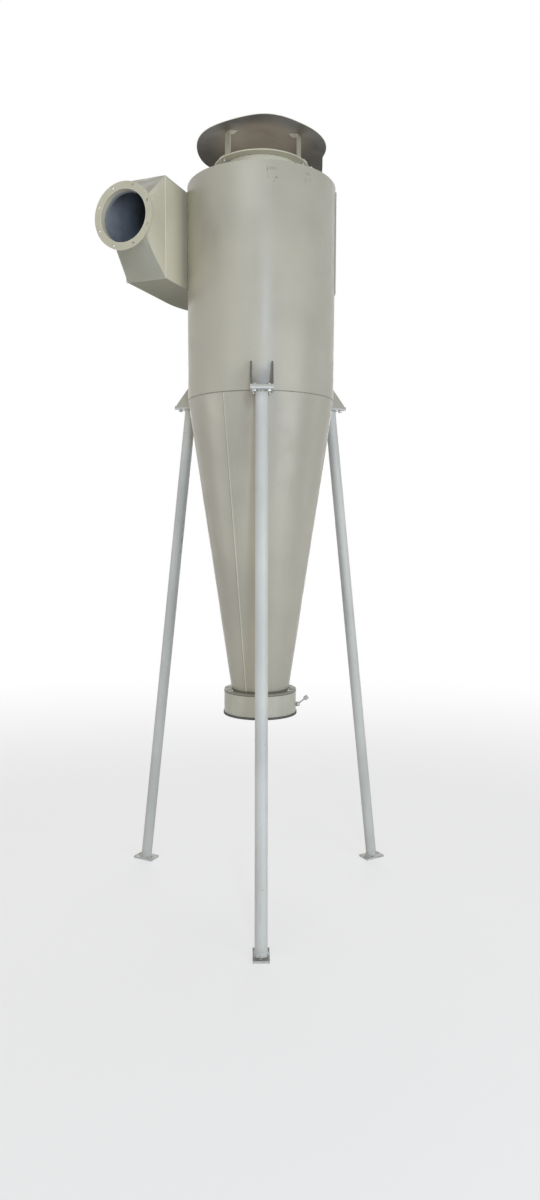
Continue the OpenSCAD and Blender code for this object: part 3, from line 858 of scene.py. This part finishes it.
class CYCLONE_OT_shell_seams(bpy.types.Operator):
    """Welded seams of the barrel, the cone, the roof and the dust ring"""
    bl_idname = "cyclone.shell_seams"
    bl_label = "Shell seams"

    def execute(self, context):
        weld = context.scene.cyclone_welds
        lean = (BARREL_R - CONE_END_R) / (SEAM_Z - CONE_END_Z)
        cone_gap = 0.004
        barrel_gap = 0.003
        scroll_gap = 0.002
        roof_inset = 0.0022
        roof_bead = 0.0024
        sleeve_bead = 0.0016

        bm = bmesh.new()
        # Barrel-cone seam in a darker weld finish: painted shade
        bead_ring(bm, BARREL_R, weld.seam * 0.8, SEAM_Z, 720, 0.10, 0.011)
        keep_weld(bm, "barrel_cone_seam", "weld_dirty")

        bm = bmesh.new()
        low = around(weld.cone_seam, CONE_END_R + cone_gap * lean, z=CONE_END_Z + cone_gap)
        high = around(weld.cone_seam, BARREL_R - cone_gap * lean, z=SEAM_Z - cone_gap)
        bead_line(bm, low, high, weld.seam * 1.1, 260, 0.10, 0.02, flat=around(weld.cone_seam, 1), squash=0.7)
        # The seam takes a light copy of the cream: painted highlight
        keep_weld(bm, "cone_long_seam", "seam_paint")

        bm = bmesh.new()
        low = around(BACK_SEAM, BARREL_R, z=SEAM_Z + barrel_gap)
        high = around(BACK_SEAM, BARREL_R, z=SCROLL_LOW_Z - scroll_gap)
        bead_line(bm, low, high, weld.seam, 110, 0.10, 0.02, flat=around(BACK_SEAM, 1), squash=0.55)
        keep_weld(bm, "barrel_long_seam")

        bm = bmesh.new()
        bead_ring(bm, BARREL_R - roof_inset, roof_bead, ROOF_Z, 540, 0.12, 0.012, squash=0.5)
        keep_weld(bm, "roof_edge_seam")

        bm = bmesh.new()
        bead_ring(bm, TUBE_R + WIDE_WELD_OFF, weld.fillet, ROOF_Z, 540, 0.12, 0.008)
        bead_ring(bm, TUBE_R + WIDE_WELD_OFF, weld.seam, RING_LOW_Z, 540, 0.12, 0.008)
        keep_weld(bm, "outlet_welds")

        # Dust ring welds in the darkest weld finish: painted shade at the cone's foot, a dark joint under the
        # ring
        bm = bmesh.new()
        bead_ring(bm, CONE_END_R + WIDE_WELD_OFF, weld.seam, CONE_END_Z, 420, 0.14, 0.008)
        bead_ring(bm, SLEEVE_R - SLIM_WELD_OFF, sleeve_bead, DUST_RING_LOW_Z, 420, 0.14, 0.008)
        keep_weld(bm, "dust_ring_welds", "weld_dark")
        return {"FINISHED"}


class CYCLONE_OT_inlet_seams(bpy.types.Operator):
    """Seams and folds of the inlet, from the flange to the barrel"""
    bl_idname = "cyclone.inlet_seams"
    bl_label = "Inlet seams"

    def execute(self, context):
        weld = context.scene.cyclone_welds
        facing = Matrix.Rotation(-pi / 2, 4, "X")
        bm = bmesh.new()
        for y, size in ((FLANGE_BACK_Y, weld.seam * 1.2), (SPIGOT_HIGH.y, weld.seam)):
            bead_arc(bm, SPIGOT_R + 0.0006, size, 0, 2 * pi, 360,
                     Matrix.Translation((MOUTH.x, y, MOUTH.z)) @ facing, 0.12, 0.009)
        keep_weld(bm, "spigot_welds")

        bm = bmesh.new()
        y = DUCT_HIGH.y
        left, right, low, high = DUCT_LOW.x, WALL_FACE_X, SCROLL_LOW_Z, SCROLL_TOP_Z
        inset = 0.0022
        for a, b, out, size in (((right - inset, y, low), (right - inset, y, high), (1, 0, 0), weld.fold),
                                ((left + inset, y, low), (left + inset, y, high), (1, 0, 0), weld.fold),
                                ((left, y, low + inset), (right, y, low + inset), (0, 0, 1), weld.seam),
                                ((left, y, high - inset), (right, y, high - inset), (0, 0, 1), weld.seam)):
            bead_line(bm, a, b, size, 60, flat=out, squash=0.62)
        # The fold takes a light copy of the cream: painted highlight
        keep_weld(bm, "duct_mouth_fold", "fold_paint")

        # Where the duct's inner wall meets the barrel, and where the scroll's two plates do
        bm = bmesh.new()
        scroll_bead = 0.0030
        gap = 0.003
        corner = -sqrt(BARREL_R ** 2 - WALL_FACE_X ** 2)
        x, y = WALL_FACE_X + WIDE_WELD_OFF, corner - WIDE_WELD_OFF
        bead_line(bm, (x, y, low + gap), (x, y, high - gap), scroll_bead, 150, 0.14, 0.008)
        sweep = pi + atan2(-corner, -WALL_FACE_X) - SCROLL_END
        for z in (low, high):
            bead_arc(bm, BARREL_R + SLIM_WELD_OFF, scroll_bead, SCROLL_END, sweep, 520,
                     Matrix.Translation((0, 0, z)), 0.14, 0.008)
        keep_weld(bm, "scroll_barrel_welds")
        return {"FINISHED"}


class CYCLONE_OT_leg_welds(bpy.types.Operator):
    """Welds of each leg's pipe on its foot and head plates, and of the bracket on the barrel"""
    bl_idname = "cyclone.leg_welds"
    bl_label = "Leg and bracket welds"

    def execute(self, context):
        weld = context.scene.cyclone_welds
        size = context.scene.cyclone_fasteners
        lean = (weld.foot_r - size.bracket_r) / HEAD_LOW_Z
        stretch = sqrt(1 + lean * lean)
        gusset_bead = 0.0026
        shelf_bead = 0.0024
        root_bead = 0.0028
        gap = 0.002
        for index, angle in enumerate(LEG_ANGLES, 1):
            bm = bmesh.new()
            for z in (FOOT_TOP_Z, HEAD_LOW_Z):
                centre = around(angle, weld.foot_r - lean * z, z=z)
                place = (Matrix.Translation(centre) @ Matrix.Rotation(angle, 4, "Z")
                         @ Matrix.Diagonal((stretch, 1, 1, 1)))
                bead_arc(bm, weld.pipe_r + WIDE_WELD_OFF, weld.fillet, 0, 2 * pi, 168, place, 0.20, 0.0065)
            keep_weld(bm, f"leg_welds_{index}", "weld_legs")

            bm = bmesh.new()
            shelf = SHELF_TOP_Z + SLIM_WELD_OFF
            for side in (-1, 1):
                for face in (-1, 1):
                    across = side * GUSSET_ACROSS + face * GUSSET_HALF_T
                    radius = sqrt(BARREL_R ** 2 - across ** 2) + SLIM_WELD_OFF
                    bead_line(bm, around(angle, radius, across, SHELF_TOP_Z + gap),
                              around(angle, radius, across, SHELF_TOP_Z + GUSSET_H), gusset_bead, 44,
                              0.18, 0.007)
                    if face == -side:
                        bead_line(bm, around(angle, radius + gap, across, shelf),
                                  around(angle, BARREL_R + SHELF_REACH, across, shelf), shelf_bead, 44,
                                  0.18, 0.007)
            radius = BARREL_R + SLIM_WELD_OFF
            bead_line(bm, around(angle, radius, -SHELF_HALF_W, SHELF_TOP_Z),
                      around(angle, radius, SHELF_HALF_W, SHELF_TOP_Z), root_bead, 36, 0.18, 0.007)
            keep_weld(bm, f"bracket_welds_{index}", "weld_cream")
        return {"FINISHED"}


class CYCLONE_OT_clamp_nuts(bpy.types.Operator):
    """Pin with nuts through the sleeve clamp's lug"""
    bl_idname = "cyclone.clamp_nuts"
    bl_label = "Clamp nuts"

    def execute(self, context):
        middle = (LUG_LOW + LUG_HIGH) / 2
        centre = around(CLAMP_ANGLE, SLEEVE_R + CLAMP_PIN_OUT, z=middle.z)
        sideways = Matrix.Rotation(CLAMP_ANGLE, 4, "Z") @ Matrix.Rotation(-pi / 2, 4, "X")
        outwards = Matrix.Translation((0, 0, CLAMP_HALF_W))
        nut = bolt_nut(0.007, stub=0.003)
        bm = bmesh.new()
        put(bm, nut, Matrix.Translation(centre) @ sideways @ outwards)
        put(bm, nut, Matrix.Translation(centre) @ sideways @ Matrix.Rotation(pi, 4, "X") @ outwards)
        keep(bm, "clamp_pin_nuts", finish_named("zinc"))
        return {"FINISHED"}


class CYCLONE_OT_stage(bpy.types.Operator):
    """Floor, pale surroundings, soft lights and the camera"""
    bl_idname = "cyclone.stage"
    bl_label = "Stage"

    def execute(self, context):
        stage = context.scene.cyclone_stage
        scene = context.scene
        bm = bmesh.new()
        bmesh.ops.create_grid(bm, x_segments=2, y_segments=2, size=30)
        mesh = bpy.data.meshes.new("floor")
        bm.to_mesh(mesh)
        bm.free()
        floor = bpy.data.objects.new("floor", mesh)
        scene.collection.objects.link(floor)
        r = Recipe("floor")
        rays = r.add("ShaderNodeLightPath").outputs
        mirrored = r.maths("MAXIMUM", rays["Is Glossy Ray"], rays["Is Transmission Ray"])
        seen = r.maths("MAXIMUM", rays["Is Camera Ray"], mirrored)
        far = r.span(r.vector("LENGTH", r.place), 1.5, 6.0, 0.60, 1.0)
        glow = r.add("ShaderNodeEmission")
        glow.inputs["Strength"].default_value = 1.0
        blend = r.add("ShaderNodeMixShader")
        r.feed(blend.inputs[0], r.maths("MULTIPLY", far, seen))
        r.feed(blend.inputs[1], r.shader.outputs[0])
        r.feed(blend.inputs[2], glow.outputs[0])
        r.feed(r.tree.nodes["Material Output"].inputs[0], blend.outputs[0])
        mesh.materials.append(r.done(r.mix(seen, list(stage.bounce), list(stage.floor)), 0.85))

        world = bpy.data.worlds.new("surroundings")
        scene.world = world
        world.use_nodes = True
        nodes, links = world.node_tree.nodes, world.node_tree.links
        background = nodes["Background"]
        background.inputs["Color"].default_value = (1, 1, 1, 1)
        light = nodes.new("ShaderNodeLightPath")
        clear = nodes.new("ShaderNodeMath")
        clear.operation = "MAXIMUM"
        links.new(light.outputs["Is Glossy Ray"], clear.inputs[0])
        links.new(light.outputs["Is Transmission Ray"], clear.inputs[1])
        shown = nodes.new("ShaderNodeMath")
        shown.operation = "MAXIMUM"
        links.new(light.outputs["Is Camera Ray"], shown.inputs[0])
        links.new(clear.outputs[0], shown.inputs[1])
        strength = nodes.new("ShaderNodeMapRange")
        strength.inputs["To Min"].default_value = stage.ambient
        strength.inputs["To Max"].default_value = 1.0
        links.new(shown.outputs[0], strength.inputs["Value"])
        links.new(strength.outputs[0], background.inputs["Strength"])

        heading = stage.azimuth - stage.aside
        # Each lamp's bearing from the camera in degrees, distance, height, the height it aims at, its width
        # and height, watts and colour
        for name, bearing, distance, height, aim, size_x, size_y, watts, tint in (
                ("key_light", 44, 6.0, 1.6, 1.5, 3.8, 3.4, 126, (0.98, 0.985, 0.99)),
                ("strip_light", 7.5, 6.0, 2.2, 2.0, 0.46, 4.4, 88, (0.60, 0.74, 1.0)),
                ("front_left_light", -42, 6.0, 2.0, 1.7, 3.0, 4.2, 37, (1.0, 0.97, 0.92)),
                ("left_light", -78, 6.0, 1.4, 1.3, 2.5, 2.6, 43, (1.0, 0.97, 0.92)),
                ("right_light", 100, 6.0, 2.0, 1.6, 2.5, 3.0, 16, (0.94, 0.97, 1.0)),
                ("upper_light", -20, 4.2, 5.2, 2.6, 2.5, 2.0, 32, (1.0, 0.98, 0.94)),
                ("back_light", 180, 6.0, 2.2, 1.7, 4.4, 3.4, 95, (1.0, 1.0, 1.0)),
                ("top_light", 175, 2.5, 6.6, 3.2, 3.5, 3.5, 60, (1.0, 1.0, 1.0))):
            lamp = bpy.data.lights.new(name, "AREA")
            lamp.shape = "RECTANGLE"
            lamp.size, lamp.size_y = size_x, size_y
            lamp.energy = watts * stage.light
            lamp.color = tint
            holder = bpy.data.objects.new(name, lamp)
            scene.collection.objects.link(holder)
            turn = heading + radians(bearing)
            holder.location = (distance * sin(turn), -distance * cos(turn), height)
            look = Vector((0, 0, aim)) - holder.location
            holder.rotation_euler = look.to_track_quat("-Z", "Y").to_euler()

        lens = bpy.data.cameras.new("camera")
        lens.lens = stage.lens
        lens.sensor_width = 36
        lens.clip_start, lens.clip_end = 0.1, 200
        camera = bpy.data.objects.new("camera", lens)
        scene.collection.objects.link(camera)
        camera.location = (stage.distance * sin(stage.azimuth), -stage.distance * cos(stage.azimuth),
                           stage.height)
        turn = (Matrix.Rotation(heading, 4, "Z") @ Matrix.Rotation(pi / 2 - stage.pitch, 4, "X")
                @ Matrix.Rotation(stage.roll, 4, "Z"))
        camera.rotation_euler = turn.to_euler()
        scene.camera = camera
        scene.view_settings.view_transform = "Standard"
        return {"FINISHED"}


STEPS = (CYCLONE_OT_finishes, CYCLONE_OT_rain_cap, CYCLONE_OT_bracket_bolts, CYCLONE_OT_cap_bolts,
         CYCLONE_OT_ring_bolts, CYCLONE_OT_shell_seams, CYCLONE_OT_inlet_seams, CYCLONE_OT_leg_welds,
         CYCLONE_OT_clamp_nuts, CYCLONE_OT_stage)
GROUPS = (("cyclone_cap", CycloneCap), ("cyclone_fasteners", CycloneFasteners),
          ("cyclone_welds", CycloneWelds), ("cyclone_finish", CycloneFinish), ("cyclone_stage", CycloneStage))


class CYCLONE_PT_panel(bpy.types.Panel):
    """Lists the pieces of the cyclone separator"""
    bl_idname = "CYCLONE_PT_panel"
    bl_label = "Cyclone separator"
    bl_space_type = "VIEW_3D"
    bl_region_type = "UI"
    bl_category = "Cyclone"

    def draw(self, context):
        for step in STEPS:
            self.layout.operator(step.bl_idname)
        for name, group in GROUPS:
            box = self.layout.box()
            for key in group.__annotations__:
                box.prop(getattr(context.scene, name), key)


def register():
    for group_name, group in GROUPS:
        bpy.utils.register_class(group)
        setattr(bpy.types.Scene, group_name, bpy.props.PointerProperty(type=group))
    for step in STEPS:
        bpy.utils.register_class(step)
    bpy.utils.register_class(CYCLONE_PT_panel)


def unregister():
    bpy.utils.unregister_class(CYCLONE_PT_panel)
    for step in reversed(STEPS):
        bpy.utils.unregister_class(step)
    for group_name, group in reversed(GROUPS):
        delattr(bpy.types.Scene, group_name)
        bpy.utils.unregister_class(group)


def main():
    register()
    bpy.ops.cyclone.finishes()
    bpy.ops.cyclone.rain_cap()
    bpy.ops.cyclone.bracket_bolts()
    bpy.ops.cyclone.cap_bolts()
    bpy.ops.cyclone.ring_bolts()
    bpy.ops.cyclone.shell_seams()
    bpy.ops.cyclone.inlet_seams()
    bpy.ops.cyclone.leg_welds()
    bpy.ops.cyclone.clamp_nuts()
    bpy.ops.cyclone.stage()


if __name__ == "__main__":
    main()
